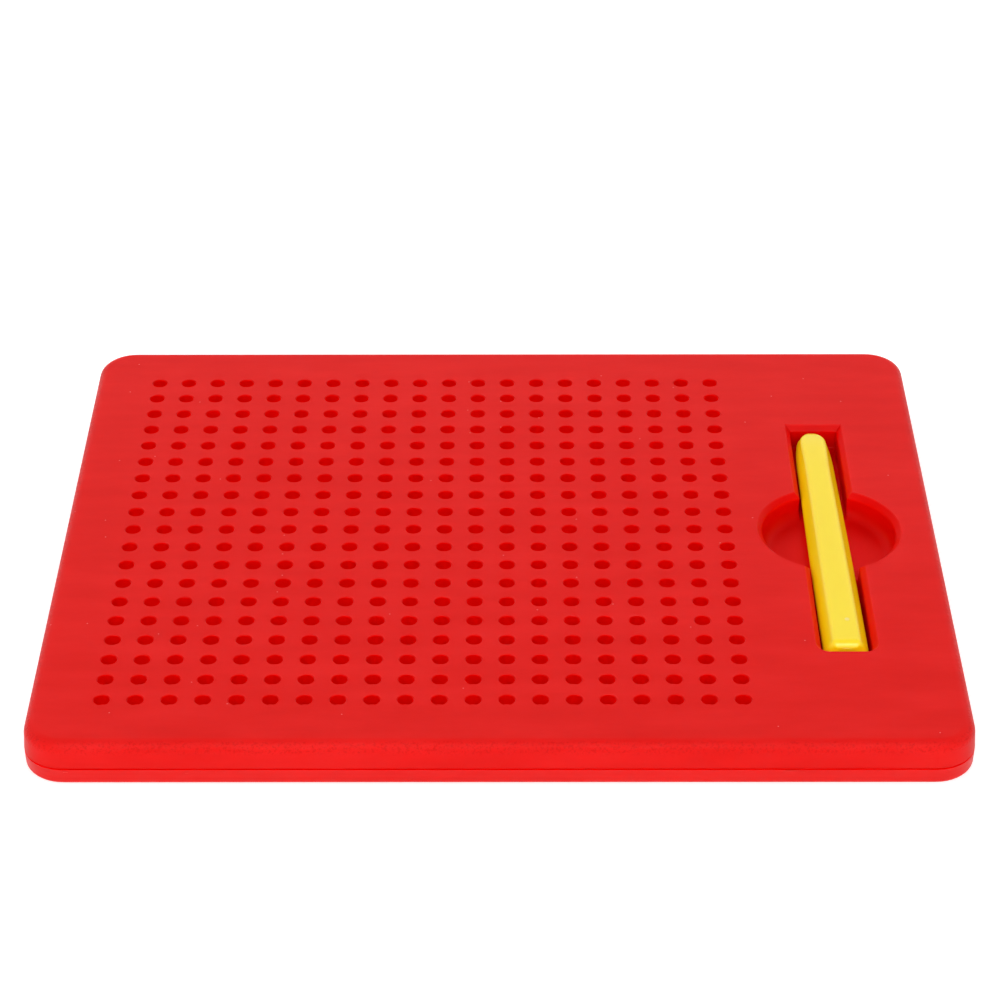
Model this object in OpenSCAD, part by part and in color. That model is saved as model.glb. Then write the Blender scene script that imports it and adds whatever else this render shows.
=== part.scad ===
// Magnetic bead drawing board with a stylus in a moulded recess.
// Each bead waits in a well of the back panel. The magnetic stylus pulls it up through a soft
// sheet into a hole of the front panel, the sheet holds it there, and a finger pushes it back.
// The origin is the middle of the underside: +X right, +Y away from the user, +Z up.

/* [Case] */
// Width of the case at its parting line, left to right
board_w = 217.4; // [215:0.2:262]
// Depth of the case at its parting line, front to back
board_d = 174; // [172:1:210]
// Thickness of the closed case
board_t = 11.2; // [10.8:0.1:14]
// Radius of the case's corners, seen from above
corner_r = 9.7; // [8.5:0.1:12]
// Rounding of the front panel's upper edge
top_edge_r = 2.6; // [0.6:0.1:3]
// Rounding of the back panel's lower edge
bottom_edge_r = 1.2; // [0.4:0.1:2.1]
// Draft of the front panel's outer wall in degrees, as it leans in towards the face
skirt_draft = 4; // [0:0.5:5]
// Draft of the back panel's outer wall in degrees, as it leans in towards the underside
rim_draft = 2; // [0:0.5:4]
// Thickness of the front panel's skirt
skirt_t = 2.2; // [2.2:0.1:2.8]
// Height of the back panel's rim, where the halves meet
rim_h = 4.2; // [3.6:0.1:4.6]
// Open groove between the two halves
seam_gap = 0.45; // [0.2:0.05:0.8]
// Thickness of the tongue on the rim that closes the groove from inside
tongue_t = 1.2; // [0.8:0.1:1.6]
// How far the tongue stands above the rim
tongue_h = 1.6; // [1:0.1:2.4]
// Clearance between the tongue and the skirt
tongue_gap = 0.15; // [0.1:0.05:0.4]
// Thickness of the front panel's face
face_t = 3.3; // [2.8:0.1:3.6]
// Thickness of the back panel's floor
floor_t = 2.4; // [2.2:0.1:2.8]

/* [Bead grid] */
// Beads in each row
bead_columns = 20; // [4:1:20]
// Rows of beads, one node each
bead_rows = 19; // [4:1:19]
// Distance between beads both ways
bead_pitch = 7.76; // [6.4:0.01:7.8]
// Diameter of a steel bead
bead_d = 4.5; // [4.3:0.05:5.4]
// From the case's left side to the middle of the first column
grid_margin = 17.3; // [16:0.1:18]
// Diameter of a hole's mouth in the front panel, smaller than the bead
mouth_d = 3.9; // [3.2:0.05:4.1]
// Bevel round a hole's mouth
mouth_bevel = 0.15; // [0.05:0.05:0.25]
// Thickness of the lip under a hole's mouth that stops the bead
lip_t = 0.7; // [0.5:0.05:1]
// Clearance round a bead in the front panel's bore
bore_gap = 0.2; // [0.15:0.05:0.3]
// Clearance round a bead in its well
well_gap = 0.3; // [0.15:0.05:0.4]
// Clearance under a bead at rest
seat_gap = 0.15; // [0.1:0.01:0.3]
// Clearance under the lip over a raised bead, along its travel
lip_gap = 0.28; // [0.2:0.01:0.4]
// Share of their travel that the beads are drawn raised by
raised_share = 0; // [0:0.05:1]
// Thickness of the soft retaining sheet
sheet_t = 0.3; // [0.2:0.05:0.5]
// How much smaller a hole in the sheet is than the bead
sheet_grip = 0.6; // [0.3:0.05:0.9]
// From the outer beads' middles to the edge of the block of wells
block_margin = 4.5; // [4:0.1:4.5]
// Clearance between the block of wells and the rib round it
block_gap = 0.3; // [0.2:0.05:0.4]
// Thickness of the rib round the block of wells
frame_rib_t = 1.0; // [0.8:0.1:1.2]

/* [Stylus] */
// Length of the stylus
stylus_l = 96; // [80:0.5:116]
// Width of the stylus at its rear end
stylus_w = 10.9; // [9.6:0.1:13.2]
// How much narrower the stylus is where its nose begins
stylus_taper = 1.3; // [0:0.1:1.6]
// Thickness of the stylus from its top facet to its bottom facet
stylus_h = 7.3; // [7:0.1:9]
// Top facet's share of the stylus's width
facet_share = 0.58; // [0.5:0.01:0.66]
// The same share at the very tip of the nose
tip_facet_share = 0.88; // [0.6:0.01:0.9]
// Rounding along the edges of the top and bottom facets
crease_r = 1.3; // [0.4:0.1:2]
// Rounding along the stylus's sides, where it is widest
side_r = 1.6; // [0.4:0.1:2]
// Rounding round the stylus's rear end
stylus_end_r = 2.0; // [0.8:0.1:2]
// Length of the nose, from where it begins to narrow
nose_l = 18; // [12:0.5:22]
// Diameter of the magnet and the bore that holds it
magnet_d = 4.5; // [3.6:0.1:4.6]
// Length of the magnet
magnet_l = 12; // [6:1:20]
// From the tip of the stylus to the magnet
magnet_setback = 4; // [4:0.5:8]
// Length of the end cap, a plug in the rear end of the magnet's bore
cap_l = 8; // [4:0.5:12]
// How far the end cap lies inside the rear end
cap_sink = 0.05; // [0:0.05:0.8]
// Bevel round the end cap
cap_bevel = 0.1; // [0.1:0.1:0.6]
// Clearance round the magnet and the end cap
stylus_fit = 0.05; // [0.02:0.01:0.1]

/* [Stylus recess] */
// From the case's right side to the middle of the recess
recess_margin = 26.8; // [25:0.1:27.4]
// Middle of the stylus slot, forward or back of the case's middle
slot_y = -1.3; // [-6:0.1:6]
// Middle of the finger scoop, forward or back of the case's middle
scoop_y = 0.2; // [-10:0.1:10]
// Radius of the finger scoop at its wall
scoop_r = 16.6; // [12:0.1:18]
// Depth of the recess below the front face
recess_depth = 6.5; // [5.5:0.1:6.8]
// Clearance on each side of the stylus in its slot
slot_side_gap = 0.6; // [0.4:0.05:0.8]
// Clearance behind the stylus's rear end
slot_near_gap = 0.5; // [0.3:0.1:1]
// Clearance ahead of the stylus's tip
slot_far_gap = 1; // [0.3:0.1:2]
// Share of its side clearance by which the stylus lies to the left at its rear end
rear_lean = 0.2; // [0:0.05:0.6]
// Share of its side clearance by which the stylus lies to the left at its tip
tip_lean = 0.6; // [0:0.05:0.6]
// Clearance under the stylus
slot_seat_gap = 0.12; // [0.1:0.01:0.3]
// Corner radius of the slot's near end
slot_near_r = 2.0; // [0.5:0.1:3]
// Width of the bevel round the recess's rim
recess_bevel = 1.4; // [0.4:0.1:1.6]
// Rounding between that bevel and the recess's walls
recess_bevel_r = 0.8; // [0.2:0.1:1.2]
// Rounding between the slot's walls and its floor
slot_foot_r = 0.5; // [0.3:0.1:1]
// Rounding between the scoop's wall and its floor
scoop_foot_r = 3; // [0.5:0.1:4]
// Thickness of the recess's walls and floor
recess_wall = 1.5; // [1.2:0.1:1.6]
// Thickness of the ribs on the back panel under the recess
rest_rib_t = 1.2; // [0.8:0.1:2]
// Clearance between those ribs and the recess
rest_rib_gap = 0.15; // [0.1:0.05:0.3]
// Distance between those ribs
rest_rib_pitch = 28; // [16:1:40]

/* [Case screws] */
// From the case's sides to a corner screw
screw_inset = 8.4; // [8:0.1:9]
// Diameter of the screw's shank
screw_d = 2.4; // [2:0.1:2.6]
// Length of the screw's shank
screw_l = 6.6; // [5:0.1:7]
// Diameter of the screw's head
screw_head_d = 4.6; // [4:0.1:4.8]
// Height of the screw's head
screw_head_h = 1.2; // [0.9:0.1:1.3]
// How far the head lies below the back panel's underside
screw_sink = 0.3; // [0.1:0.1:0.4]
// Clearance round the head and the shank in the back panel
screw_gap = 0.2; // [0.1:0.05:0.3]
// Clearance round the shank in the front panel's boss
pilot_gap = 0.03; // [0.02:0.01:0.05]
// Diameter of the front panel's screw bosses
boss_d = 6.5; // [5.6:0.1:6.6]
// From the recess to the screws beside it
recess_screw_gap = 6.3; // [5.4:0.1:7]
// From the case's middle to the screws beside the recess, forward and back
recess_screw_y = 45; // [30:1:60]

/* [Hidden] */
$fn = 64;
// room past a face for a cut to go right through it
past = 1;
// how far the arc on a drafted wall stands out from it, so that arc and wall truly cross
arc_lap = 0.001;
// points on the arc of each long edge of the stylus
edge_steps = 4;
// stations along the stylus's rounded rear end, its body and its nose
end_steps = 6;
body_steps = 6;
nose_steps = 18;

// heights above the case's underside
face_z = board_t - face_t;
sheet_z = face_z - sheet_t;
skirt_z = rim_h + seam_gap;
recess_z = board_t - recess_depth;
tray_z = recess_z - recess_wall;

// bead grid
bead_r = bead_d / 2;
mouth_r = mouth_d / 2;
bore_r = bead_r + bore_gap;
well_r = bead_r + well_gap;
sheet_hole_r = bead_r - sheet_grip / 2;
grid_x0 = -board_w / 2 + grid_margin;
grid_w = (bead_columns - 1) * bead_pitch;
grid_d = (bead_rows - 1) * bead_pitch;
grid_mid_x = grid_x0 + grid_w / 2;
block_w = grid_w + 2 * block_margin;
block_d = grid_d + 2 * block_margin;
bead_z = floor_t + seat_gap + bead_r;
// a raised bead stops where its side meets the lip's lower edge
raised_z = board_t - lip_t - sqrt(bead_r * bead_r - mouth_r * mouth_r) - lip_gap;
bead_travel = raised_z - bead_z;

// recess and stylus
recess_x = board_w / 2 - recess_margin;
slot_w = stylus_w + 2 * slot_side_gap;
slot_l = stylus_l + slot_near_gap + slot_far_gap;
stylus_rear_y = slot_y - slot_l / 2 + slot_near_gap;
// the stylus lies loose in its slot, shifted to the left and a little turned
rear_shift = rear_lean * slot_side_gap;
tip_shift = tip_lean * (slot_side_gap + stylus_taper / 2);
stylus_turn = asin((tip_shift - rear_shift) / stylus_l);
stylus_mid_z = recess_z + slot_seat_gap + stylus_h / 2;
magnet_bore_r = magnet_d / 2 + stylus_fit;

// inner edge of the tongue, measured from the case's outside
tongue_inset = skirt_t + tongue_gap + tongue_t;
screw_x = board_w / 2 - screw_inset;
screw_y = board_d / 2 - screw_inset;
recess_screw_x = recess_x - slot_w / 2 - recess_wall - recess_screw_gap;
SCREWS = [
    [-screw_x, -screw_y], [screw_x, -screw_y], [-screw_x, screw_y], [screw_x, screw_y],
    [grid_mid_x, -screw_y], [grid_mid_x, screw_y],
    [recess_screw_x, -recess_screw_y], [recess_screw_x, recess_screw_y],
];

function row_name(row) = str("bead_row_", row < 10 ? "0" : "", row);

// ---- shapes that repeat ----

// A plate from z0 to z1 with corners of radius r, whose edge follows the 2D profile given as
// its child: across from 0 at the corners' middles to r at the edge, and up from z0 to z1.
module edged_plate(w, d, r, z0, z1) {
    inner_w = w - 2 * r;
    inner_d = d - 2 * r;
    translate([-inner_w / 2, -inner_d / 2, z0]) cube([inner_w, inner_d, z1 - z0]);
    for (turn = [0 : 3]) {
        across = turn % 2 == 0 ? inner_w : inner_d;
        along = turn % 2 == 0 ? inner_d : inner_w;
        rotate([0, 0, 90 * turn]) {
            translate([across / 2, along / 2, 0]) rotate([90, 0, 0])
                linear_extrude(along) children();
            translate([across / 2, along / 2, 0]) rotate_extrude(angle = 90) children();
        }
    }
}

// The case's edge in section, from the parting line up by h to an outer face: the wall leans in
// by its draft and turns into the face on an arc
module case_edge(r, h, draft, edge_r) {
    lean = h * tan(draft);
    middle = [r - (h - edge_r) * tan(draft) - edge_r / cos(draft) + arc_lap, h - edge_r];
    difference() {
        polygon([[0, 0], [r, 0], [r - lean, h], [0, h]]);
        difference() {
            polygon([middle, middle + (edge_r + past) * [cos(draft), sin(draft)],
                     [r + past, h + past], middle + [0, edge_r + past]]);
            translate(middle) circle(edge_r);
        }
    }
}

// A plain plate that follows the case's outline, inset from it all round
module inset_plate(inset, z0, z1) {
    r = corner_r - inset;
    edged_plate(board_w - 2 * inset, board_d - 2 * inset, r, z0, z1)
        translate([0, z0]) square([r, z1 - z0]);
}

// What a recess takes out of the face, seen in section: its wall is at r, a bevel with a
// rounded inner edge runs round its rim, and its foot turns into the floor on an arc
module recess_section(r, foot_r) {
    bevel_z = board_t - recess_bevel;
    edge = recess_bevel_r * tan(22.5);
    turn = [r + recess_bevel_r, bevel_z - edge];
    difference() {
        translate([0, recess_z]) square([r, recess_depth + past]);
        translate([r - foot_r, recess_z + foot_r]) difference() {
            translate([0, -foot_r - past]) square(foot_r + past);
            circle(foot_r);
        }
    }
    polygon([[0, bevel_z], [r, bevel_z], [r + recess_bevel, board_t],
             [r + recess_bevel, board_t + past], [0, board_t + past]]);
    difference() {
        polygon([[0, turn[1]], [r, turn[1]], turn,
                 [r + edge / sqrt(2), bevel_z + edge / sqrt(2)], [0, bevel_z]]);
        translate(turn) circle(recess_bevel_r);
    }
}

// Puts its child at every bead of the grid
module at_beads() {
    for (row = [1 : bead_rows]) at_row(row) children();
}

// Puts its child at every bead of one row, the first row at the back
module at_row(row) {
    for (column = [0 : bead_columns - 1])
        translate([grid_x0 + column * bead_pitch, grid_d / 2 - (row - 1) * bead_pitch, 0])
            children();
}

module at_screws() {
    for (place = SCREWS) translate([place[0], place[1], 0]) children();
}

// ---- case ----

// Stepped bore from under the face up to the mouth: the bead slides in it and stops at the lip
module bead_bore() {
    rotate_extrude() {
        translate([0, face_z - past]) square([bore_r, face_t - lip_t + past]);
        square([mouth_r, board_t + past]);
        translate([0, board_t - mouth_bevel])
            polygon([[0, 0], [mouth_r, 0], [mouth_r + mouth_bevel + past, mouth_bevel + past],
                     [0, mouth_bevel + past]]);
    }
}

// The stylus's slot: its far corners are mitred and its near ones round
module slot_space() {
    translate([recess_x, slot_y, 0]) {
        intersection() {
            slot_sides(slot_w / 2, slot_l / 2 + recess_bevel);
            translate([-slot_w / 2 - recess_bevel, 0, 0]) rotate([90, 0, 90])
                linear_extrude(slot_w + 2 * recess_bevel)
                    recess_section(slot_l / 2, slot_foot_r);
        }
        mirror([0, 1, 0]) slot_near_half();
    }
}

// The slot across its width, along a length from its middle
module slot_sides(half_w, length) {
    for (hand = [0, 1]) mirror([hand, 0, 0]) translate([0, length, 0])
        rotate([90, 0, 0]) linear_extrude(length) recess_section(half_w, slot_foot_r);
}

module slot_near_half() {
    r = slot_near_r;
    inner_w = slot_w - 2 * r;
    inner_l = slot_l / 2 - r;
    slot_sides(slot_w / 2, inner_l);
    translate([-inner_w / 2, inner_l, 0]) rotate([90, 0, 90])
        linear_extrude(inner_w) recess_section(r, slot_foot_r);
    for (hand = [0, 1]) mirror([hand, 0, 0]) translate([inner_w / 2, inner_l, 0])
        rotate_extrude(angle = 90) recess_section(r, slot_foot_r);
}

// The round scoop that lets two fingers take hold of the stylus
module scoop_space() {
    translate([recess_x, scoop_y, 0])
        rotate_extrude() recess_section(scoop_r, scoop_foot_r);
}

// Walls and floor of the recess under the face
module recess_tray() {
    slot_out = slot_w + 2 * recess_wall;
    slot_out_l = slot_l + 2 * recess_wall;
    translate([recess_x - slot_out / 2, slot_y - slot_out_l / 2, tray_z])
        cube([slot_out, slot_out_l, face_z - tray_z]);
    translate([recess_x, scoop_y, tray_z])
        cylinder(r = scoop_r + recess_wall, h = face_z - tray_z);
}

// Rib that locates the block of wells and the sheet
module frame_rib() {
    inner_w = block_w + 2 * block_gap;
    inner_d = block_d + 2 * block_gap;
    translate([grid_mid_x, 0, rim_h]) difference() {
        translate([-inner_w / 2 - frame_rib_t, -inner_d / 2 - frame_rib_t, 0])
            cube([inner_w + 2 * frame_rib_t, inner_d + 2 * frame_rib_t, face_z - rim_h]);
        translate([-inner_w / 2, -inner_d / 2, -past])
            cube([inner_w, inner_d, face_z - rim_h + 2 * past]);
    }
}

module front_panel() {
    color("red") difference() {
        union() {
            difference() {
                edged_plate(board_w, board_d, corner_r, skirt_z, board_t)
                    translate([0, skirt_z])
                        case_edge(corner_r, board_t - skirt_z, skirt_draft, top_edge_r);
                inset_plate(skirt_t, skirt_z - past, face_z);
            }
            recess_tray();
            frame_rib();
            at_screws() translate([0, 0, floor_t])
                cylinder(d = boss_d, h = face_z - floor_t);
        }
        slot_space();
        scoop_space();
        at_beads() bead_bore();
        at_screws() translate([0, 0, floor_t - past])
            cylinder(d = screw_d + 2 * pilot_gap, h = screw_l + past);
    }
}

// The block of wells under the grid, before its wells are cut
module well_block(z0, z1) {
    translate([grid_mid_x - block_w / 2, -block_d / 2, z0]) cube([block_w, block_d, z1 - z0]);
}

module back_panel() {
    color("firebrick") difference() {
        union() {
            edged_plate(board_w, board_d, corner_r, 0, rim_h)
                translate([0, rim_h]) mirror([0, 1])
                    case_edge(corner_r, rim_h, rim_draft, bottom_edge_r);
            inset_plate(skirt_t + tongue_gap, rim_h, rim_h + tongue_h);
            well_block(floor_t, sheet_z);
        }
        difference() {
            inset_plate(tongue_inset, floor_t, rim_h + tongue_h + past);
            well_block(0, board_t);
        }
        at_beads() translate([0, 0, floor_t]) cylinder(r = well_r, h = board_t);
        at_screws() {
            translate([0, 0, -past])
                cylinder(d = screw_head_d + 2 * screw_gap,
                         h = screw_sink + screw_head_h + past);
            cylinder(d = screw_d + 2 * screw_gap, h = board_t);
        }
    }
    color("firebrick") rest_ribs();
}

// Low ribs on the floor that back the recess when a finger presses in it
module rest_ribs() {
    for (side = [-1 : 1])
        translate([recess_x - slot_w / 2, slot_y + side * rest_rib_pitch - rest_rib_t / 2,
                   floor_t - past])
            cube([slot_w, rest_rib_t, tray_z - rest_rib_gap - floor_t + past]);
}

module retaining_sheet() {
    color("red") difference() {
        well_block(sheet_z, face_z);
        at_beads() translate([0, 0, sheet_z - past])
            cylinder(r = sheet_hole_r, h = sheet_t + 2 * past);
    }
}

// Pan-head screw, driven from below
module case_screw() {
    slot_t = screw_head_d / 6;
    slot_l = screw_head_d * 0.6;
    slot_h = screw_head_h / 2;
    translate([0, 0, screw_sink]) difference() {
        union() {
            cylinder(d = screw_head_d, h = screw_head_h);
            cylinder(d = screw_d, h = screw_head_h + screw_l);
        }
        for (turn = [0, 90]) rotate([0, 0, turn])
            translate([-slot_l / 2, -slot_t / 2, -past]) cube([slot_l, slot_t, slot_h + past]);
    }
}

module case_screws() {
    color("silver") at_screws() case_screw();
}

module bead_row(row) {
    color("lightgray") at_row(row)
        translate([0, 0, bead_z + raised_share * bead_travel]) sphere(bead_r);
}

// ---- stylus ----

// Arc of a rounded corner at p, between the neighbours before and after it
function corner_arc(before, p, after, r) =
    let (
        u = (before - p) / norm(before - p),
        v = (after - p) / norm(after - p),
        half = acos(u * v) / 2,
        middle = p + (u + v) / norm(u + v) * r / sin(half),
        first = p + u * r / tan(half) - middle,
        last = p + v * r / tan(half) - middle,
        from = atan2(first[1], first[0]),
        turn = (atan2(last[1], last[0]) - from + 540) % 360 - 180
    )
    [for (i = [0 : edge_steps]) let (a = from + turn * i / edge_steps)
        middle + r * [cos(a), sin(a)]];

// Section of the stylus, w wide and h high: a flattened hexagon with a flat facet at the top and
// the bottom, rounded by a radius at the facets' edges and another at the sides
function stylus_section(w, h, facet, facet_r, widest_r) =
    let (
        slope = atan2(h, w - facet),
        point = w / 2 + widest_r * (1 / sin(slope) - 1),
        c = [[point, 0], [facet / 2, h / 2], [-facet / 2, h / 2],
             [-point, 0], [-facet / 2, -h / 2], [facet / 2, -h / 2]]
    )
    [for (i = [0 : 5])
        each corner_arc(c[(i + 5) % 6], c[i], c[(i + 1) % 6], i % 3 == 0 ? widest_r : facet_r)];

// The stylus's width at a distance from its rear end, before its nose narrows it
function body_w(along) = stylus_w - stylus_taper * pow(along / (stylus_l - nose_l), 2);

// Section at a distance from the rear end, drawn in all round by e
function body_station(along, e) =
    let (
        w = body_w(along),
        facet = w * facet_share,
        slope = atan2(stylus_h, w - facet)
    )
    [along, stylus_section(w - 2 * e, stylus_h - 2 * e, facet - 2 * e * tan(slope / 2),
        max(crease_r - e, 0.1), max(side_r - e, 0.1))];

// Section of the nose at a share u of its length back from the tip: its sides draw in on a
// long curve, and its flat top holds on until the blunt tip
function nose_station(u) =
    let (
        base_w = body_w(stylus_l - nose_l),
        draw = 1 - pow(1 - u, 2.1),
        wide = pow(draw, 1 / 4),
        high = pow(1 - pow(1 - u, 4.4), 1 / 2.4),
        share = facet_share + (tip_facet_share - facet_share) * pow(1 - u, 1.5),
        shrink = min(wide, high)
    )
    [stylus_l - nose_l * u, stylus_section(base_w * wide, stylus_h * high,
        base_w * wide * share, crease_r * shrink, side_r * shrink)];

// Closed skin over stations, each [distance from the rear end, section]
module skin(stations) {
    n = len(stations[0][1]);
    last = len(stations) - 1;
    points = [for (s = stations) each [for (p = s[1]) [p[0], s[0], p[1]]]];
    sides = [for (k = [0 : last - 1]) each [for (i = [0 : n - 1])
        let (a = k * n + i, b = k * n + (i + 1) % n) [a, b, b + n, a + n]]];
    ends = [[for (i = [n - 1 : -1 : 0]) i], [for (i = [0 : n - 1]) last * n + i]];
    polyhedron(points, concat(sides, ends), convexity = 4);
}

module at_stylus() {
    translate([recess_x - rear_shift, stylus_rear_y, stylus_mid_z]) rotate([0, 0, stylus_turn])
        children();
}

// A round bore or pin along the stylus, from one distance from its rear end to another
module along_stylus(r, from, to) {
    translate([0, from, 0]) rotate([-90, 0, 0]) cylinder(r = r, h = to - from);
}

module stylus_barrel() {
    body_l = stylus_l - nose_l;
    stations = concat(
        [for (i = [0 : end_steps]) let (a = 90 * i / end_steps)
            body_station(stylus_end_r * (1 - cos(a)), stylus_end_r * (1 - sin(a)))],
        [for (i = [1 : body_steps - 1])
            body_station(stylus_end_r + (body_l - stylus_end_r) * i / body_steps, 0)],
        [for (i = [nose_steps : -1 : 1]) nose_station(pow(i / nose_steps, 2))]
    );
    color("gold") at_stylus() difference() {
        skin(stations);
        along_stylus(magnet_bore_r, -past, stylus_l - magnet_setback);
    }
}

module stylus_magnet() {
    color("dimgray") at_stylus()
        along_stylus(magnet_d / 2, stylus_l - magnet_setback - magnet_l,
                     stylus_l - magnet_setback);
}

// Plug with a bevelled end that closes the magnet's bore
module stylus_end_cap() {
    r = magnet_d / 2;
    color("gold") at_stylus() translate([0, cap_sink, 0]) rotate([-90, 0, 0])
        rotate_extrude()
            polygon([[0, 0], [r - cap_bevel, 0], [r, cap_bevel], [r, cap_l], [0, cap_l]]);
}

// ---- nodes ----

front_panel();
back_panel();
retaining_sheet();
case_screws();
stylus_barrel();
stylus_magnet();
stylus_end_cap();
for (row = [1 : bead_rows])
    bead_row(row);
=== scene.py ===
# %% [markdown]
# # A magnetic bead drawing board
#
# The object is a flat red board of two moulded plastic halves. Its face has a grid of small
# holes, each over a steel bead, and a recess that holds a yellow magnetic stylus. This script
# adds what CAD doesn't hold: the camera, the light, the finish of each surface, a rounder nose
# for the stylus and the small marks that moulding leaves. Everything is in metres, with the
# origin under the middle of the board, +X to the right, +Y away from the user and +Z up.

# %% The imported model
import math

import bmesh
import bpy
from mathutils import Matrix, Vector
from mathutils.bvhtree import BVHTree
from mathutils.noise import random_vector, seed_set


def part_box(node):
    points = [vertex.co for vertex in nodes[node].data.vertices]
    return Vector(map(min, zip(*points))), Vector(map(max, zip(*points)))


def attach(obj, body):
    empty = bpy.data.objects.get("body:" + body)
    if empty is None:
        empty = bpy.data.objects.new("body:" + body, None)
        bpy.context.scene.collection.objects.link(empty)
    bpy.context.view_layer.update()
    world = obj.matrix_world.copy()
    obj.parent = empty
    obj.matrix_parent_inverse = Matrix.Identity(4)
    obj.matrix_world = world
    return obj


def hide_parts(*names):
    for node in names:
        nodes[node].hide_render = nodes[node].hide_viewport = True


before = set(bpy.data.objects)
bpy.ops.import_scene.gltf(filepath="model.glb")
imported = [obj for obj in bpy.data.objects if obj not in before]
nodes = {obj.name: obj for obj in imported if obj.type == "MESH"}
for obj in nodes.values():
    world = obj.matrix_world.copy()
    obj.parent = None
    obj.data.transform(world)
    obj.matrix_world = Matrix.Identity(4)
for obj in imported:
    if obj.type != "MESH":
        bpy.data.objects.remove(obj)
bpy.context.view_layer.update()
MM = 0.001

_, board_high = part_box("front_panel")
board_top = board_high.z
bead_nodes = sorted(name for name in nodes if name.startswith("bead_row"))
print(f"{len(nodes)} CAD nodes, {len(bead_nodes)} rows of beads")

# %% [markdown]
# ## Image points
#
# A few places read off the photograph, in its 1000 by 1000 frame, tie the scene to it. The
# outer edges give one number each, and the other points are the middle of what shows of a
# thing. They set the camera, place the small marks below, and are measured again at the end.

# %% Image points
IMAGE_W, IMAGE_H = 1000, 1000
POINTS = {
    "board_left": (24, None),
    "board_right": (974, None),
    "board_back": (None, 354.5),
    "board_front": (None, 781.4),
    "hole_back_left": (159.2, 383),
    "hole_back_right": (709.4, 383),
    "hole_front_left": (101.6, 699.6),
    "hole_front_right": (742.8, 699.6),
    "slot_far_rim": (812.9, 424),
    "slot_near_rim": (None, 650.2),
    "scoop_left": (757.5, None),
    "scoop_right": (903.5, None),
    "stylus_tip": (None, 432.8),
    "stylus_rear_left": (821.8, None),
    "stylus_rear_right": (868.2, None),
    "gate_mark": (847, 619),
    "flash_left": (65.4, 772.5),
    "flash_middle": (186.6, 773.2),
    "flash_dash": (791, 770.3),
    "flash_right": (803, 772),
}
print(len(POINTS), "image points")

# %% [markdown]
# ## Camera
#
# The grid of holes is a ruler seen in perspective, so it gives the camera's place, aim and lens
# together. A camera could also be aimed at a target with a constraint, but named angles are
# plainer here: the camera looks along +Y, down at the board, and is turned and rolled by a
# fraction of a degree, as a camera held on a tripod by eye would be. There is no lens shift.

# %% Camera
CAMERA_AT = Vector((2.5, -620.6, 431.2)) * MM
TILT_DOWN = math.radians(33.54)
TURN_LEFT = math.radians(0.23)
ROLL = math.radians(-0.17)
LENS_MM = 108.36
SENSOR_MM = 36
NEAREST_SEEN, FARTHEST_SEEN = 0.05, 20

camera_data = bpy.data.cameras.new("camera")
camera_data.lens = LENS_MM
camera_data.sensor_width = SENSOR_MM
camera_data.sensor_fit = "AUTO"
camera_data.clip_start = NEAREST_SEEN
camera_data.clip_end = FARTHEST_SEEN
camera = bpy.data.objects.new("camera", camera_data)
camera.matrix_world = (
    Matrix.Translation(CAMERA_AT)
    @ Matrix.Rotation(TURN_LEFT, 4, "Z")
    @ Matrix.Rotation(math.pi / 2 - TILT_DOWN, 4, "X")
    @ Matrix.Rotation(ROLL, 4, "Z")
)
bpy.context.scene.collection.objects.link(camera)
bpy.context.scene.camera = camera
bpy.context.scene.view_settings.view_transform = "Standard"
bpy.context.view_layer.update()


def image_ray(x, y):
    """Start and direction of the sight line through an image point."""
    long_side = max(IMAGE_W, IMAGE_H)
    across = x - IMAGE_W / 2 + camera_data.shift_x * long_side
    up = IMAGE_H / 2 - y + camera_data.shift_y * long_side
    ahead = -long_side * camera_data.lens / camera_data.sensor_width
    direction = camera.matrix_world.to_3x3() @ Vector((across, up, ahead))
    return camera.matrix_world.translation.copy(), direction.normalized()


def image_place(point):
    """The image point at which a place in the scene shows: image_ray() the other way round."""
    long_side = max(IMAGE_W, IMAGE_H)
    seen = camera.matrix_world.inverted() @ point
    scale = long_side * camera_data.lens / camera_data.sensor_width / -seen.z
    return (
        IMAGE_W / 2 - camera_data.shift_x * long_side + seen.x * scale,
        IMAGE_H / 2 + camera_data.shift_y * long_side - seen.y * scale,
    )


print("camera is", round((CAMERA_AT - Vector((0, 0, board_top))).length / MM), "mm away")

# %% [markdown]
# ## Helpers for materials
#
# Every finish below is built from shader nodes. One function adds a node, sets it and links
# it, and one turns the usual hex colour, which is sRGB, into the linear numbers that the
# shaders work in. Another starts a material with its Principled shader, and the last turns the
# real size of a pattern's feature into the scale that a texture node takes.


# %% Helpers for materials
def linear(hex_colour):
    """sRGB hex to a linear RGBA colour. The numbers are those of the sRGB standard."""
    parts = [int(hex_colour[i : i + 2], 16) / 255 for i in (1, 3, 5)]
    return [p / 12.92 if p <= 0.04045 else ((p + 0.055) / 1.055) ** 2.4 for p in parts] + [1]


def add(tree, kind, inputs=None, **settings):
    """Adds a shader node. An input is given a value or the output that feeds it."""
    node = tree.nodes.new(kind)
    for name, value in settings.items():
        setattr(node, name, value)
    for name, value in (inputs or {}).items():
        if isinstance(value, bpy.types.NodeSocket):
            tree.links.new(value, node.inputs[name])
        else:
            node.inputs[name].default_value = value
    return node


def start_material(name, **values):
    """A new material with a Principled shader, whose inputs are given with _ for spaces."""
    material = bpy.data.materials.new(name)
    material.use_nodes = True
    tree = material.node_tree
    tree.nodes.clear()
    inputs = {key.replace("_", " "): value for key, value in values.items()}
    shader = add(tree, "ShaderNodeBsdfPrincipled", inputs)
    add(tree, "ShaderNodeOutputMaterial", {"Surface": shader.outputs[0]})
    return material, tree, shader


def per_metre(size_mm):
    """Texture scale at which one feature of a pattern is this many millimetres wide."""
    return 1 / (size_mm * MM)


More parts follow.
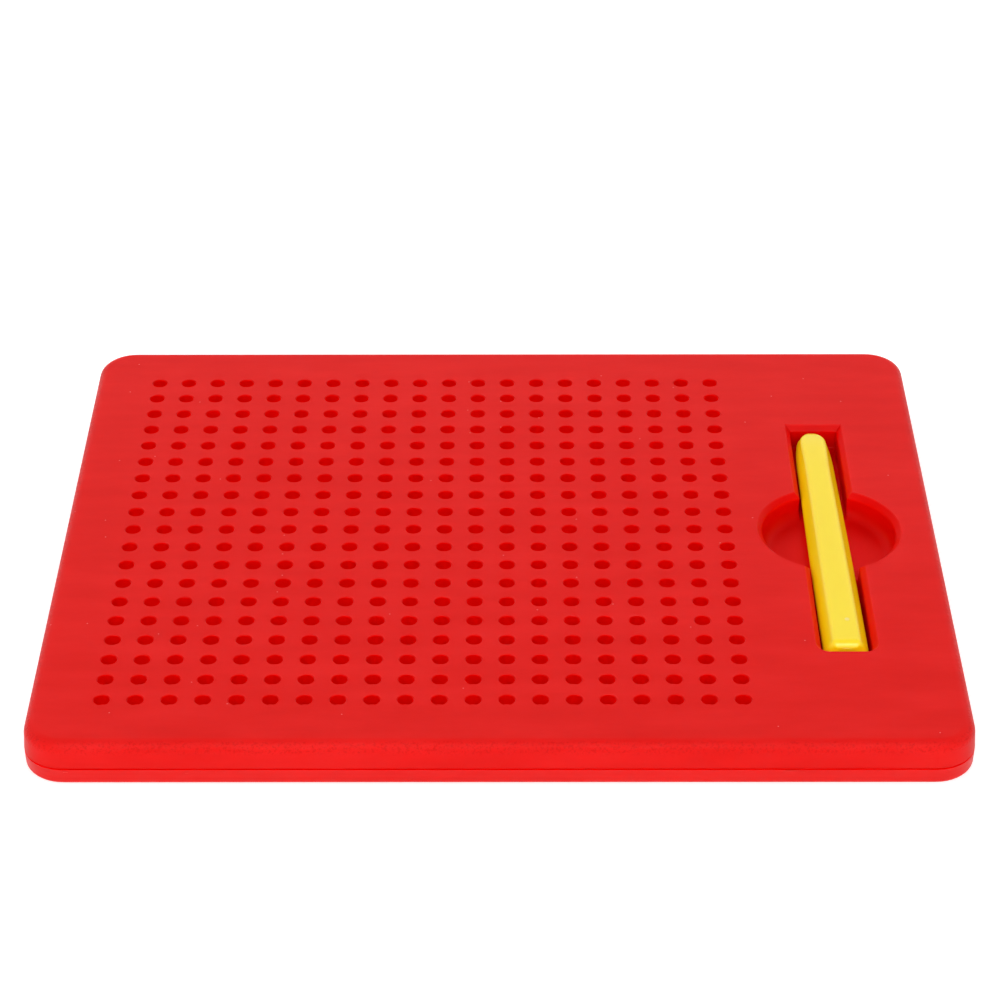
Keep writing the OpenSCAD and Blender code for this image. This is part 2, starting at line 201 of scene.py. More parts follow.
# %% [markdown]
# ## Red moulded ABS
#
# Both halves of the case are injection-moulded ABS in one red. The mould was spark-eroded to a
# fine satin, so the face is matt but still catches a pale sheen at a low angle. The resin flows
# in from one side, which leaves faint streaks along the board. Specks of fine pale dust lie on
# the face. The recess is painted a deeper red, as painted shade, and the holes and the parting
# groove are painted the brightest red, as painted light. Some light passes into the plastic and
# comes out again redder, so that nothing in it goes black. Where the face turns down into the
# wall, the grain is coarser, like orange peel, and its pits are painted darker, as painted shade.
# An image texture could hold all this, but noise and masks in the object's own coordinates need
# no unwrapping and have their sizes in real millimetres.

# %% Red ABS
ABS_RED = "#DE1B19"
ABS_RED_DEEP = "#DA1816"
ABS_RED_PALE = "#E21F1D"
STREAK_MM = (26, 7, 7)
# noise at which a streak is deep, plain and pale
STREAK_TONES = (0.3, 0.5, 0.7)
# the real satin grain is under 0.1 mm, too fine to show, so it is drawn this coarse
GRAIN_MM = 0.5
GRAIN_DEPTH_MM = 0.03
GRAIN_STRENGTH = 0.35
SATIN_GLOSS = 0.07


def red_abs(name, red, gloss=SATIN_GLOSS, details=()):
    """Satin red ABS. Each detail is given, and gives back, the colour and the bump so far."""
    material, tree, shader = start_material(
        name, Roughness=0.42, IOR=1.53, Specular_IOR_Level=gloss, Subsurface_Weight=0.8,
        Subsurface_Radius=(1, 0.08, 0.05), Subsurface_Scale=2 * MM,
    )
    place = add(tree, "ShaderNodeTexCoord").outputs["Object"]
    along = add(tree, "ShaderNodeMapping",
                {"Vector": place, "Scale": [per_metre(size) for size in STREAK_MM]})
    streaks = add(tree, "ShaderNodeTexNoise",
                  {"Vector": along.outputs[0], "Scale": 1, "Detail": 3, "Roughness": 0.6})
    colour = add(tree, "ShaderNodeValToRGB", {"Fac": streaks.outputs["Fac"]})
    tones = colour.color_ramp.elements
    deep_at, plain_at, pale_at = STREAK_TONES
    tones[0].position, tones[0].color = deep_at, linear(ABS_RED_DEEP)
    tones[1].position, tones[1].color = pale_at, linear(ABS_RED_PALE)
    tones.new(plain_at).color = linear(red)
    grain = add(tree, "ShaderNodeTexNoise",
                {"Vector": place, "Scale": per_metre(GRAIN_MM), "Detail": 2})
    satin = add(tree, "ShaderNodeBump",
                {"Height": grain.outputs["Fac"], "Strength": GRAIN_STRENGTH,
                 "Distance": GRAIN_DEPTH_MM * MM})
    paint, normal = colour.outputs["Color"], satin.outputs["Normal"]
    for detail in details:
        paint, normal = detail(tree, place, paint, normal)
    tree.links.new(paint, shader.inputs["Base Color"])
    tree.links.new(normal, shader.inputs["Normal"])
    return material


# %% [markdown]
# ## Where each detail of the red goes
#
# Painted masks would need unwrapping, so here a mask is arithmetic on a place in the object:
# how far it is from the outline, from the face and from the recess. A mask is 1 where its
# detail shows and 0 elsewhere, and masks are joined by multiplying them.

# %% Masks on the case
CORNER_R = 9.7 * MM
# the hollows' painted light and shade start this far in from the outline, and from the face and
# the underside
SKIN_MM = 4.5
FACE_MM = 0.25
# this far past the stylus the recess, with its scoop, has ended and the holes haven't begun
RECESS_REACH = 14 * MM
# heights of the groove between the two halves, which is painted bright red as painted light
PARTING_MM = (4.19, 4.66)
# painted light: the bright red of the holes and the parting groove
RECESS_PAINTED_SHADE_RED = "#DC0301"
# painted shade: the deep red of the recess
HOLE_PAINTED_LIGHT_RED = "#FD0200"
stylus_low, stylus_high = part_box("stylus_barrel")
recess_start = stylus_low.x - RECESS_REACH


def all_of(tree, *masks):
    """These masks multiplied. Each is a node's output, and all but the first may be a number."""
    total = masks[0]
    for mask in masks[1:]:
        total = add(tree, "ShaderNodeMath", {0: total, 1: mask}, operation="MULTIPLY").outputs[0]
    return total


def past_core(tree, place):
    """How far a place is outside the case's core, the outline less CORNER_R all round.

    The outline, with its rounded corners, is then CORNER_R away everywhere. Height is left out:
    the core is taken to be a metre high.
    """
    core = (board_high.x - CORNER_R, board_high.y - CORNER_R, 1)
    mirrored = add(tree, "ShaderNodeVectorMath", {0: place}, operation="ABSOLUTE")
    past = add(tree, "ShaderNodeVectorMath", {0: mirrored.outputs[0], 1: core},
               operation="SUBTRACT")
    outside = add(tree, "ShaderNodeVectorMath", {0: past.outputs[0], 1: (0, 0, 0)},
                  operation="MAXIMUM")
    return add(tree, "ShaderNodeVectorMath", {0: outside.outputs[0]},
               operation="LENGTH").outputs["Value"]


def mixed(tree, mask, paint, colour):
    """A colour that is paint where the mask is 0 and the hex colour where it is 1."""
    return add(tree, "ShaderNodeMix", {"Factor": mask, 6: paint, 7: linear(colour)},
               data_type="RGBA").outputs[2]


def painted_light_and_shade_in_hollows(tree, place, paint, normal):
    """Painted light and shade: the holes and the parting groove painted a bright red, the recess
    a deep red.

    COMPARE gives 1 where its first number is within the third of the second.
    """
    at = add(tree, "ShaderNodeSeparateXYZ", {"Vector": place})
    inward = add(tree, "ShaderNodeMath",
                 {0: past_core(tree, place), 1: CORNER_R - SKIN_MM * MM}, operation="LESS_THAN")
    below_face = add(tree, "ShaderNodeMath",
                     {0: at.outputs["Z"], 1: board_top / 2, 2: board_top / 2 - FACE_MM * MM},
                     operation="COMPARE")
    painted_recess = add(tree, "ShaderNodeMath", {0: at.outputs["X"], 1: recess_start},
                    operation="GREATER_THAN")
    foot, head = PARTING_MM
    groove_painted_light = add(tree, "ShaderNodeMath",
                    {0: at.outputs["Z"], 1: (foot + head) / 2 * MM, 2: (head - foot) / 2 * MM},
                    operation="COMPARE")
    hollow = all_of(tree, inward.outputs[0], below_face.outputs[0])
    # painted light in the holes
    paint = mixed(tree, hollow, paint, HOLE_PAINTED_LIGHT_RED)
    # painted shade in the recess
    paint = mixed(tree, all_of(tree, hollow, painted_recess.outputs[0]), paint, RECESS_PAINTED_SHADE_RED)
    # painted light in the parting groove
    return mixed(tree, groove_painted_light.outputs[0], paint, HOLE_PAINTED_LIGHT_RED), normal


# %% [markdown]
# ## Dust, and a coarse edge with painted shade
#
# A few specks of pale dust lie on the face: a Voronoi texture gives one point in each cell, and
# only some of the cells keep theirs. On the rounding between the face and the wall the mould's
# spark erosion was coarser, like the skin of an orange, and its small pits are painted a darker
# red, as painted shade that also darkens the rounding.

# %% Dust, and coarse edge with painted shade
DUST = "#F2A5A0"
SPECK_CELL_MM = 9
SPECK_MM = 0.17
# share of the cells that keep their speck, and how much of the red a speck covers
SPECK_SHARE = 0.14
SPECK_COVER = 0.55
# painted shade: the darker red of the pits
PIT_SHADE_RED = "#C4100E"
PIT_SHADE_COVER = 0.55
# noise at the bottom of a pit and at its edge
PIT_DEEPEST, PIT_EDGE = 0.36, 0.5
PEEL_MM = 0.62
PEEL_DEPTH_MM = 0.2
# the coarse grain comes in and goes out again between these distances under the face, and
# only this near the outline
PEEL_TOP_MM = (0.1, 0.4)
PEEL_FOOT_MM = (2.0, 3.2)
PEEL_WIDTH_MM = 3


def dust_over(tree, place, paint, normal):
    """Small pale specks on the face."""
    cells = add(tree, "ShaderNodeTexVoronoi",
                {"Vector": place, "Scale": per_metre(SPECK_CELL_MM)}, voronoi_dimensions="2D")
    near = add(tree, "ShaderNodeMath",
               {0: cells.outputs["Distance"], 1: SPECK_MM / SPECK_CELL_MM}, operation="LESS_THAN")
    pick = add(tree, "ShaderNodeSeparateColor", {"Color": cells.outputs["Color"]})
    kept = add(tree, "ShaderNodeMath", {0: pick.outputs[0], 1: SPECK_SHARE},
               operation="LESS_THAN")
    at = add(tree, "ShaderNodeSeparateXYZ", {"Vector": place})
    on_top = add(tree, "ShaderNodeMath", {0: at.outputs["Z"], 1: board_top - FACE_MM * MM},
                 operation="GREATER_THAN")
    speck = all_of(tree, near.outputs[0], kept.outputs[0], on_top.outputs[0], SPECK_COVER)
    return mixed(tree, speck, paint, DUST), normal


def coarse_edge_and_pit_shade(tree, place, paint, normal):
    """The coarse grain on the rounding of the outer edge, with its pits painted darker as painted
    shade.
    """
    at = add(tree, "ShaderNodeSeparateXYZ", {"Vector": place})
    band = add(tree, "ShaderNodeMath",
               {0: past_core(tree, place), 1: CORNER_R - PEEL_WIDTH_MM * MM},
               operation="GREATER_THAN").outputs[0]
    for start, end in (PEEL_TOP_MM, reversed(PEEL_FOOT_MM)):
        fade = add(tree, "ShaderNodeMapRange",
                   {"Value": at.outputs["Z"], "From Min": board_top - start * MM,
                    "From Max": board_top - end * MM})
        band = all_of(tree, band, fade.outputs[0])
    peel = add(tree, "ShaderNodeTexNoise",
               {"Vector": place, "Scale": per_metre(PEEL_MM), "Detail": 2, "Roughness": 0.7})
    pits = add(tree, "ShaderNodeMapRange",
               {"Value": peel.outputs["Fac"], "From Min": PIT_EDGE, "From Max": PIT_DEEPEST})
    bump = add(tree, "ShaderNodeBump",
               {"Height": peel.outputs["Fac"], "Strength": band,
                "Distance": PEEL_DEPTH_MM * MM, "Normal": normal})
    # painted shade in the pits
    shaded_pits = all_of(tree, band, pits.outputs[0], PIT_SHADE_COVER)
    return mixed(tree, shaded_pits, paint, PIT_SHADE_RED), bump.outputs["Normal"]


# %% [markdown]
# ## The two halves of the case
#
# The face gets every detail. The back panel shows only as a low rim under the parting line. In
# the photograph that rim is smooth and catches more light, so it gets more gloss and neither the
# dust nor the coarse edge. One function makes both, which keeps them the same plastic.

# %% The two reds
BACK_GLOSS = 0.17
abs_face = red_abs("moulded_abs_red_face", ABS_RED,
                   details=(painted_light_and_shade_in_hollows, dust_over, coarse_edge_and_pit_shade))
abs_back = red_abs("moulded_abs_red_back", ABS_RED, gloss=BACK_GLOSS,
                   details=(painted_light_and_shade_in_hollows,))
print("two reds:", abs_face.name, "and", abs_back.name)

# %% [markdown]
# ## Yellow stylus
#
# The stylus is a smooth moulding in a glossier yellow, probably ABS from a polished mould. Its
# facets are slightly sunken, because the plastic shrinks as it cools, and that shows as a slow
# wave in the highlights. Some light goes into the plastic and comes out nearby, which keeps
# its shaded bevels golden and not grey.

# %% Yellow ABS
STYLUS_YELLOW = "#FCDF06"
STYLUS_YELLOW_DEEP = "#FADA04"
CLOUD_MM = 14
SHRINK_WAVE_MM = 5
SHRINK_DEPTH_MM = 0.1
SHRINK_STRENGTH = 0.2


def yellow_abs(name, pale, deep):
    """Glossy yellow ABS, clouded between two colours, with the slow wave of shrinkage."""
    material, tree, shader = start_material(
        name, Roughness=0.3, IOR=1.53, Specular_IOR_Level=0.58, Subsurface_Weight=0.15,
        Subsurface_Radius=(1, 0.6, 0.1), Subsurface_Scale=1.5 * MM,
    )
    place = add(tree, "ShaderNodeTexCoord").outputs["Object"]
    cloud = add(tree, "ShaderNodeTexNoise",
                {"Vector": place, "Scale": per_metre(CLOUD_MM), "Detail": 2})
    colour = add(tree, "ShaderNodeMix",
                 {"Factor": cloud.outputs["Fac"], 6: linear(deep), 7: linear(pale)},
                 data_type="RGBA")
    tree.links.new(colour.outputs[2], shader.inputs["Base Color"])
    wave = add(tree, "ShaderNodeTexNoise",
               {"Vector": place, "Scale": per_metre(SHRINK_WAVE_MM)})
    bump = add(tree, "ShaderNodeBump",
               {"Height": wave.outputs["Fac"], "Strength": SHRINK_STRENGTH,
                "Distance": SHRINK_DEPTH_MM * MM})
    tree.links.new(bump.outputs["Normal"], shader.inputs["Normal"])
    return material


abs_yellow = yellow_abs("moulded_abs_yellow", STYLUS_YELLOW, STYLUS_YELLOW_DEEP)
print("stylus finish:", abs_yellow.name)

# %% [markdown]
# ## Metals and the soft sheet
#
# The beads are carbon-steel balls, tumbled smooth, so they are bright with a fine haze. The
# screws are zinc-plated, paler and a little bluish, with a soft grain from the plating bath.
# The magnet is nickel-plated. The sheet between the panels is soft silicone, red as the case.

# %% Metals and sheet
BALL_STEEL = "#C6C7C9"
ZINC = "#C9CCD1"
NICKEL = "#B9B6AE"
HAZE_DEPTH_MM = 0.01
HAZE_STRENGTH = 0.1
SILICONE_RED = "#F00A06"
SILICONE_RED_PALE = "#FA100C"
SILICONE_CLOUD_MM = 6


def plain_metal(name, colour, roughness, grain_mm, haze):
    """A metal whose roughness varies by haze over grains of grain_mm.

    Tumbling and plating leave a far finer grain, which is drawn this coarse so that it shows.
    """
    material, tree, shader = start_material(name, Base_Color=linear(colour), Metallic=1)
    place = add(tree, "ShaderNodeTexCoord").outputs["Object"]
    grain = add(tree, "ShaderNodeTexNoise",
                {"Vector": place, "Scale": per_metre(grain_mm), "Detail": 3})
    rough = add(tree, "ShaderNodeMapRange",
                {"Value": grain.outputs["Fac"], "To Min": roughness - haze,
                 "To Max": roughness + haze})
    tree.links.new(rough.outputs[0], shader.inputs["Roughness"])
    bump = add(tree, "ShaderNodeBump",
               {"Height": grain.outputs["Fac"], "Strength": HAZE_STRENGTH,
                "Distance": HAZE_DEPTH_MM * MM})
    tree.links.new(bump.outputs["Normal"], shader.inputs["Normal"])
    return material


ball_steel = plain_metal("tumbled_ball_steel", BALL_STEEL,
                         roughness=0.2, grain_mm=0.8, haze=0.06)
zinc = plain_metal("zinc_plated_steel", ZINC, roughness=0.35, grain_mm=0.4, haze=0.1)
nickel = plain_metal("nickel_plated_magnet", NICKEL, roughness=0.22, grain_mm=0.7, haze=0.06)


def soft_silicone(name):
    """Soft silicone rubber that lets light in, faintly clouded between two reds."""
    material, tree, shader = start_material(
        name, Roughness=0.55, IOR=1.41, Subsurface_Weight=0.4,
        Subsurface_Radius=(1, 0.1, 0.1), Subsurface_Scale=1 * MM,
    )
    place = add(tree, "ShaderNodeTexCoord").outputs["Object"]
    cloud = add(tree, "ShaderNodeTexNoise",
                {"Vector": place, "Scale": per_metre(SILICONE_CLOUD_MM)})
    colour = add(tree, "ShaderNodeMix",
                 {"Factor": cloud.outputs["Fac"], 6: linear(SILICONE_RED),
                  7: linear(SILICONE_RED_PALE)}, data_type="RGBA")
    tree.links.new(colour.outputs[2], shader.inputs["Base Color"])
    return material


silicone = soft_silicone("soft_silicone_sheet")
print("inside the case:", ", ".join(m.name for m in (ball_steel, zinc, nickel, silicone)))

# %% [markdown]
# ## Finishes onto the CAD nodes
#
# All CAD shapes but the stylus's nose, which comes next, are right as they are, so each keeps its
# mesh and only gets its finish. The nodes that aren't named here are the rows of beads.

# %% Finishes
FINISHES = {
    "front_panel": abs_face,
    "back_panel": abs_back,
    "retaining_sheet": silicone,
    "case_screws": zinc,
    "stylus_barrel": abs_yellow,
    "stylus_magnet": nickel,
    "stylus_end_cap": abs_yellow,
}
for name, piece in nodes.items():
    finish = FINISHES.get(name, ball_steel)
    piece.data.materials.clear()
    piece.data.materials.append(finish)
print("finished", len(nodes), "nodes with", len(set(FINISHES.values())) + 1, "materials")

# %% [markdown]
# ## The stylus's rounder nose
#
# Seen from above, the real stylus ends in a round nose, and the CAD's top facet ends square. The
# CAD mesh stays as it is, so a new piece, made from a copy of it, stands for the barrel. The
# copy's facets narrow to the tip on a parabola, while the outline at half height stays as it
# was. A nose could also be lofted anew, but the copy keeps every other size of the CAD stylus.

# %% Rounder nose
NOSE_ROUND = 6 * MM
# vertices nearer than this along the stylus belong to one cross-section of it
STATION_STEP = 0.01 * MM
# the magnet's bore ends behind the solid tip, and stays as it is
SOLID_TIP = 3 * MM
BORE_REACH = 2.6 * MM
# vertices this near each other are joined
SAME_PLACE = 0.001 * MM


def middle_of_box(name):
    """Middle of a CAD node's box."""
    low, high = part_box(name)
    return (low + high) / 2


def rounder_nose(shape, start, axis):
    """Narrows the facets over the last NOSE_ROUND of a stylus that lies along an axis.

    A vertex at half height stays, and one on the top or bottom facet moves the most.
    """
    tip = max((v.co - start).dot(axis) for v in shape.verts)
    stations = {}
    for v in shape.verts:
        offset = v.co - start
        back = tip - offset.dot(axis)
        from_axis = (offset - axis * offset.dot(axis)).length
        in_bore = back > SOLID_TIP and from_axis < BORE_REACH
        if back < NOSE_ROUND - STATION_STEP and not in_bore:
            stations.setdefault(round(back / STATION_STEP), []).append((v, back))
    sideways = axis.cross(Vector((0, 0, 1)))
    for station in stations.values():
        half_high = max(abs(v.co.z - start.z) for v, _ in station)
        for v, back in station:
            at_facet = abs(v.co.z - start.z) / half_high
            narrow = (1 - back / NOSE_ROUND) ** 2 * at_facet
            v.co -= sideways * ((v.co - start).dot(sideways) * narrow)
    return len(stations)


def new_piece(name, mesh_builder, material, body):
    """An object from a bmesh, which moves with a body and has the given finish as its material.
    """
    mesh = bpy.data.meshes.new(name)
    mesh_builder.to_mesh(mesh)
    mesh_builder.free()
    for face in mesh.polygons:
        face.use_smooth = True
    mesh.materials.append(material)
    piece = bpy.data.objects.new(name, mesh)
    bpy.context.scene.collection.objects.link(piece)
    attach(piece, body)
    return piece


barrel_shape = bmesh.new()
barrel_shape.from_mesh(nodes["stylus_barrel"].data)
bmesh.ops.remove_doubles(barrel_shape, verts=barrel_shape.verts, dist=SAME_PLACE)
cap_middle = middle_of_box("stylus_end_cap")
stylus_axis = (middle_of_box("stylus_magnet") - cap_middle).normalized()
station_count = rounder_nose(barrel_shape, cap_middle, stylus_axis)
barrel = new_piece("stylus_barrel_round_nose", barrel_shape, abs_yellow, "stylus")
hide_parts("stylus_barrel")
print("narrowed", station_count, "cross-sections of the nose")

# %% [markdown]
# ## Smooth facets on the stylus
#
# The stylus is made of flat triangles, because its nose tapers in two ways at once. Modifiers
# smooth how it catches the light: true corners, such as the mouth of the magnet's bore, are
# split apart, and each normal leans to the largest face beside it, so that wide facets stay
# flat and the small ones between them read as one rounding.

# %% Smooth facets
TRUE_CORNER = math.radians(50)
# 50 is neutral, and a higher value lets the largest faces decide more
LARGE_FACE_WEIGHT = 80
corners = barrel.modifiers.new("split_corners", "EDGE_SPLIT")
corners.split_angle = TRUE_CORNER
corners.use_edge_sharp = False
lean = barrel.modifiers.new("lean_normals", "WEIGHTED_NORMAL")
lean.mode = "FACE_AREA"
lean.weight = LARGE_FACE_WEIGHT
lean.keep_sharp = False
print("smoothed", len(barrel.data.polygons), "faces of the stylus")

# %% [markdown]
# ## Places on a surface
#
# Small marks belong where the photograph shows them, so each is placed by its image point: a
# sight line goes from the camera through the point and meets the finished surface. A BVH tree
# finds that meeting fast. If the line passes by, the mark takes the place nearest to the line.


# %% Places on a surface
# a sight line that meets nothing is searched from this far from the camera, over this length
SEARCH_FROM, SEARCH_LENGTH = 0.4, 0.6
SEARCH_STEP = 1 * MM


def finished_tree(*pieces):
    """BVH tree and the vertices of pieces, with their modifiers, as they stand in the scene."""
    depsgraph = bpy.context.evaluated_depsgraph_get()
    points, faces = [], []
    for piece in pieces:
        finished = piece.evaluated_get(depsgraph)
        mesh = finished.to_mesh()
        first = len(points)
        points += [finished.matrix_world @ vertex.co for vertex in mesh.vertices]
        faces += [[first + i for i in face.vertices] for face in mesh.polygons]
        finished.to_mesh_clear()
    return BVHTree.FromPolygons(points, faces), points


def place_at(tree, x, y):
    """Place and normal on a surface under an image point."""
    start, direction = image_ray(x, y)
    place, normal, _, _ = tree.ray_cast(start, direction)
    if place is None:
        steps = range(round(SEARCH_LENGTH / SEARCH_STEP))
        reach = [start + direction * (SEARCH_FROM + SEARCH_STEP * step) for step in steps]
        nearest = min((tree.find_nearest(at) for at in reach), key=lambda found: found[3])
        place, normal = nearest[0], nearest[1]
    return place, normal


case_tree, case_points = finished_tree(nodes["front_panel"], nodes["back_panel"])
stylus_tree, stylus_points = finished_tree(barrel, nodes["stylus_end_cap"])
print("the board's finished surface has", len(case_points), "points")

# %% [markdown]
# ## Gate mark
#
# The plastic entered the stylus's mould through a small gate, and the twisted-off gate left a
# low button on the top facet near the rear end. It is a flat dome made of rings, painted a paler
# yellow as a painted highlight.

# %% Gate mark
GATE_R = 0.7 * MM
GATE_H = 0.06 * MM
GATE_RINGS = 4
GATE_SIDES = 24
# painted highlight: paler than the stylus
GATE_HIGHLIGHT_YELLOW = "#FFE98C"
GATE_HIGHLIGHT_YELLOW_DEEP = "#FFE06A"


def flat_dome(at, normal, radius, height, rings, sides):
    """A low round dome that stands on a surface, closed underneath."""
    shape = bmesh.new()
    turn = normal.to_track_quat("Z", "X")
    top = shape.verts.new(at + turn @ Vector((0, 0, height)))
    last = None
    for ring in range(1, rings + 1):
        out = ring / rings
        up = height * (1 - out ** 2) - (height if ring == rings else 0)
        circle = []
        for side in range(sides):
            angle = 2 * math.pi * side / sides
            local = Vector((radius * out * math.cos(angle), radius * out * math.sin(angle), up))
            circle.append(shape.verts.new(at + turn @ local))
        for side in range(sides):
            after = (side + 1) % sides
            if last is None:
                shape.faces.new((top, circle[side], circle[after]))
            else:
                shape.faces.new((last[side], circle[side], circle[after], last[after]))
        last = circle
    shape.faces.new(reversed(last))
    return shape


gate_at, gate_normal = place_at(stylus_tree, *POINTS["gate_mark"])
# the gate mark's pale yellow is a painted highlight
gate_highlight_finish = yellow_abs("moulded_abs_yellow_gate_highlight", GATE_HIGHLIGHT_YELLOW, GATE_HIGHLIGHT_YELLOW_DEEP)
new_piece("stylus_gate_mark",
          flat_dome(gate_at, gate_normal, GATE_R, GATE_H, GATE_RINGS, GATE_SIDES),
          gate_highlight_finish, "stylus")
print("gate mark at", [round(v / MM, 1) for v in gate_at], "mm")

# %% [markdown]
# ## Flash at the parting line
#
# A little plastic squeezed out between the mould's halves and left thin slivers of flash on the
# back panel's upper edge, at the front. Each sliver is a low ridge that thins out to both ends,
# in a pale red that is a painted highlight.

# %% Flash
FLASH_H = 0.16 * MM
FLASH_T = 0.12 * MM
FLASH_SINK = 0.05 * MM
FLASH_STATIONS = 9
# share of a sliver's size that is ragged, and what is left of it at its ends
FLASH_RAGGED = 0.2
FLASH_END = 0.05
FLASH_SEED = 7
# painted highlight: the slivers' pale red
FLASH_HIGHLIGHT_RED = "#F2504A"
# length of the sliver at each image point
FLASH_LENGTHS = {
    "flash_left": 1.3 * MM,
    "flash_middle": 0.8 * MM,
    "flash_dash": 3.6 * MM,
    "flash_right": 1.0 * MM,
}


def sliver(at, length):
    """A ridge along X on a wall that faces -Y, ragged and thinning out to both ends."""
    shape = bmesh.new()
    last = None
    for i in range(FLASH_STATIONS):
        along = 2 * i / (FLASH_STATIONS - 1) - 1
        ragged = 1 - FLASH_RAGGED + FLASH_RAGGED * random_vector().x
        full = math.sqrt(1 - along ** 2) * ragged + FLASH_END
        x = at.x + along * length / 2
        inner = at.y + FLASH_SINK
        ring = [shape.verts.new((x, inner, at.z - FLASH_H / 2 * full)),
                shape.verts.new((x, at.y - FLASH_T * full, at.z)),
                shape.verts.new((x, inner, at.z + FLASH_H / 2 * full))]
        for k in range(3):
            if last:
                shape.faces.new((last[k], last[k - 1], ring[k - 1], ring[k]))
        if last is None:
            shape.faces.new(ring)
        last = ring
    shape.faces.new(reversed(last))
    return shape


seed_set(FLASH_SEED)
# the slivers' pale red is a painted highlight
flash_highlight_finish = red_abs("moulded_abs_red_flash_highlight", FLASH_HIGHLIGHT_RED)
for name, length in FLASH_LENGTHS.items():
    at, _ = place_at(case_tree, *POINTS[name])
    new_piece(name, sliver(at, length), flash_highlight_finish, "case")
print("placed", len(FLASH_LENGTHS), "slivers of flash")

# %% [markdown]
# ## Floor and light
#
# The photograph was taken in a white light tent: the ground is pure white and there is hardly
# a shadow. A floor lit to white would flood the red with light, so the floor is a plain pale
# one that gives off a little light of its own, but only to the camera, to reflections and
# through clear things. The world is white to the same rays, and dim to the rest. What lights
# the object is a ring of wide soft boxes at a plain level.

# %% Floor and world
FLOOR_HALF = 4
# the floor lies this far under the board, so that no two surfaces share a place
FLOOR_DROP = 0.02 * MM
FLOOR_COLOUR = "#E8E8E8"
FLOOR_GLOW = 0.5
AMBIENT = 0.02


def seen_rays(tree):
    """1 for camera, glossy and transmission rays, which are to see the white ground."""
    path = add(tree, "ShaderNodeLightPath")
    total = path.outputs["Is Camera Ray"]
    for kind in ("Is Glossy Ray", "Is Transmission Ray"):
        total = add(tree, "ShaderNodeMath", {0: total, 1: path.outputs[kind]},
                    operation="ADD", use_clamp=True).outputs[0]
    return total


def pale_floor():
    """A wide floor that is white to the camera and still takes the board's shadow."""
    mesh = bpy.data.meshes.new("floor")
    corners = [(-1, -1), (1, -1), (1, 1), (-1, 1)]
    mesh.from_pydata([(x * FLOOR_HALF, y * FLOOR_HALF, -FLOOR_DROP) for x, y in corners],
                     [], [(0, 1, 2, 3)])
    floor = bpy.data.objects.new("floor", mesh)
    bpy.context.scene.collection.objects.link(floor)
    material, tree, shader = start_material(
        "pale_floor", Base_Color=linear(FLOOR_COLOUR), Roughness=0.9, Specular_IOR_Level=0,
        Emission_Color=(1, 1, 1, 1),
    )
    glow = add(tree, "ShaderNodeMath", {0: seen_rays(tree), 1: FLOOR_GLOW},
               operation="MULTIPLY")
    tree.links.new(glow.outputs[0], shader.inputs["Emission Strength"])
    mesh.materials.append(material)


def white_world():
    """A world that is white where it is seen and gives little light of its own."""
    world = bpy.data.worlds.new("white_tent")
    bpy.context.scene.world = world
    world.use_nodes = True
    tree = world.node_tree
    tree.nodes.clear()
    strength = add(tree, "ShaderNodeMapRange", {"Value": seen_rays(tree), "To Min": AMBIENT,
                                                "To Max": 1})
    glow = add(tree, "ShaderNodeBackground",
               {"Color": (1, 1, 1, 1), "Strength": strength.outputs[0]})
    add(tree, "ShaderNodeOutputWorld", {"Surface": glow.outputs[0]})
    world.cycles.sampling_method = "NONE"


pale_floor()
white_world()
print("floor glows by", FLOOR_GLOW, "and the world lights by", AMBIENT)

# %% [markdown]
# ## Lamps
#
# Five wide soft boxes stand round the board, all aimed at its middle. A high and a low box in
# front light the front wall and the far sides of the holes, a low box behind lays the soft
# shadow under the far rim of the recess, and one on each side rounds off the corners. The
# world already gives every reflection its white tent, so only the high front box, which makes
# the glints on the stylus, shows in reflections as well.

# %% Lamps
LAMP_DISTANCE = 1.6
LAMP_SIZE = (1.4, 0.7)
# each lamp: degrees round the board from the front to the right, degrees up, and its power
LAMPS = {
    "front_high": (0, 45, 14.4),
    "front_low": (0, 5, 14.8),
    "rear": (180, 30, 18.0),
    "left": (-80, 30, 7.8),
    "right": (80, 30, 6.4),
}
GLINTS_FROM = "front_high"
for name, (round_by, up, power) in LAMPS.items():
    around, rise = math.radians(round_by), math.radians(up)
    data = bpy.data.lights.new(name, "AREA")
    data.shape = "RECTANGLE"
    data.size, data.size_y = LAMP_SIZE
    data.energy = power
    lamp = bpy.data.objects.new(name, data)
    lamp.location = LAMP_DISTANCE * Vector((math.cos(rise) * math.sin(around),
                                            -math.cos(rise) * math.cos(around),
                                            math.sin(rise)))
    lamp.rotation_euler = (-lamp.location).to_track_quat("-Z", "Y").to_euler()
    lamp.visible_glossy = name == GLINTS_FROM
    bpy.context.scene.collection.objects.link(lamp)
print("lit by", len(LAMPS), "soft boxes")

# %% [markdown]
# ## Check of the image points
#
# Each thing is found again in the finished scene, by its vertices that the camera sees, and
# the file says how far in x and y it shows from its image point.


# %% Check of the image points
# a surface less than this in front of a vertex is the vertex's own, and doesn't hide it
OWN_SURFACE = 0.05 * MM
ON_FACE = 0.01 * MM
# distance from a hole's middle within which its rim lies, and no other hole's
HOLE_REACH = 3.2 * MM
REAR_END = 3 * MM
FAR_RIM_PIXELS = 1


def shown(points, keep):
    """Image places of the points that keep() takes and that nothing hides from the camera."""
    eye = camera.matrix_world.translation
    found = []
    for point in filter(keep, points):
        sight = point - eye
        hits = [tree.ray_cast(eye, sight) for tree in (case_tree, stylus_tree)]
        if all(hit[0] is None or hit[3] > sight.length - OWN_SURFACE for hit in hits):
            found.append(image_place(point))
    return found


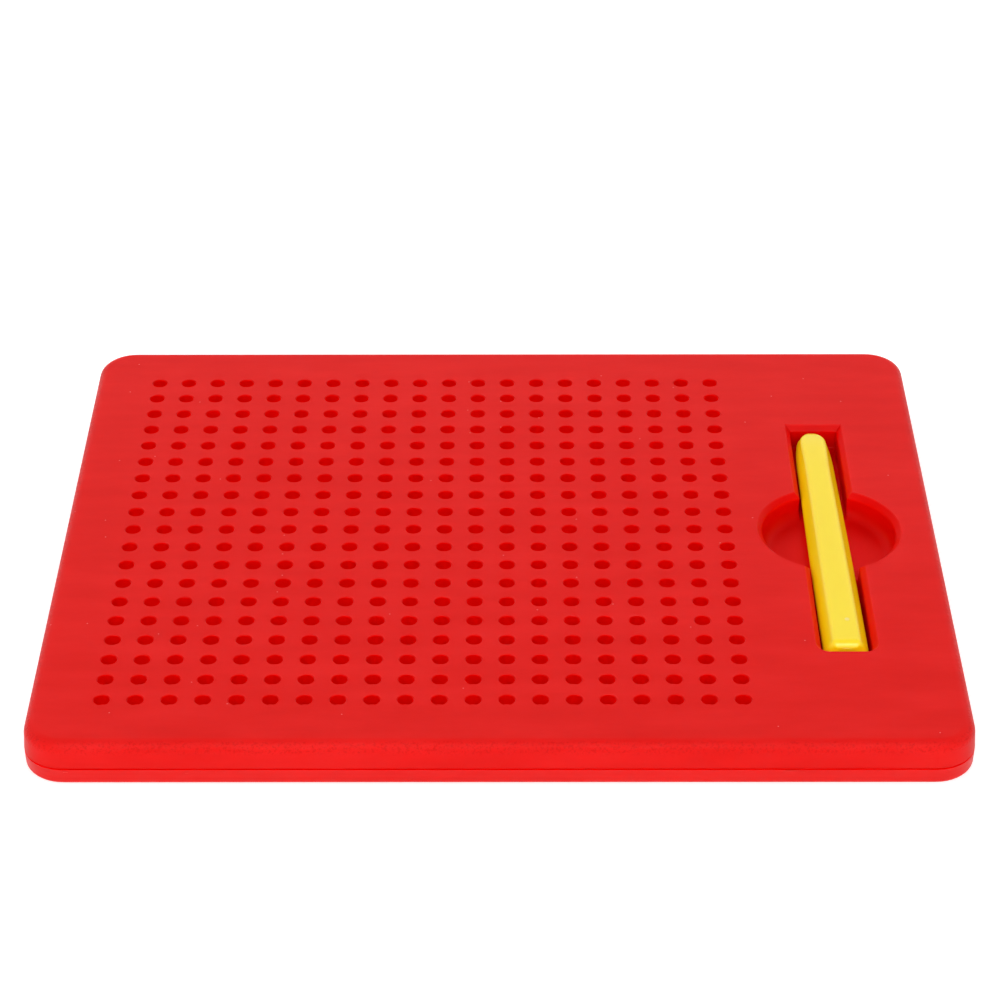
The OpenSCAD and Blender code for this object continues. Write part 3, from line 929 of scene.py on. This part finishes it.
def middle_of(places):
    """Middle of the box round some image places."""
    low_x, high_x = min(p[0] for p in places), max(p[0] for p in places)
    low_y, high_y = min(p[1] for p in places), max(p[1] for p in places)
    return (low_x + high_x) / 2, (low_y + high_y) / 2


def on_face(point):
    """True for a point on the board's top face."""
    return abs(point.z - board_top) < ON_FACE


def rim_of_hole(name):
    """The rim of the hole at an image point, on the board's face."""
    start, direction = image_ray(*POINTS[name])
    at = start + direction * ((board_top - start.z) / direction.z)
    return middle_of(shown(case_points,
                           lambda p: on_face(p) and (p - at).length < HOLE_REACH))


board = shown(case_points, lambda p: True)
recess_rim = shown(case_points, lambda p: on_face(p)
                   and stylus_low.x - RECESS_REACH < p.x < stylus_high.x + RECESS_REACH
                   and abs(p.y) < (stylus_high.y - stylus_low.y) / 2 + RECESS_REACH)
far_edge = min(p[1] for p in recess_rim) + FAR_RIM_PIXELS
far_rim = [place for place in recess_rim if place[1] < far_edge]
stylus = shown(stylus_points, lambda p: True)
stylus_rear = shown(stylus_points, lambda p: p.y < stylus_low.y + REAR_END)
found = {
    "board_left": (min(p[0] for p in board), None),
    "board_right": (max(p[0] for p in board), None),
    "board_back": (None, min(p[1] for p in board)),
    "board_front": (None, max(p[1] for p in board)),
    "slot_far_rim": middle_of(far_rim),
    "slot_near_rim": (None, max(p[1] for p in recess_rim)),
    "scoop_left": (min(p[0] for p in recess_rim), None),
    "scoop_right": (max(p[0] for p in recess_rim), None),
    "stylus_tip": (None, min(p[1] for p in stylus)),
    "stylus_rear_left": (min(p[0] for p in stylus_rear), None),
    "stylus_rear_right": (max(p[0] for p in stylus_rear), None),
    "gate_mark": image_place(gate_at),
}
for name in POINTS:
    if name.startswith("hole"):
        found[name] = rim_of_hole(name)
    elif name.startswith("flash"):
        mark = bpy.data.objects[name]
        found[name] = middle_of([image_place(vertex.co) for vertex in mark.data.vertices])
offsets = {
    name: [None if at is None else round(got - at, 2) for got, at in zip(found[name], point)]
    for name, point in POINTS.items()
}
for name, offset in offsets.items():
    print("point", name, "is off by", offset)

# %% Last update of the scene
bpy.context.view_layer.update()
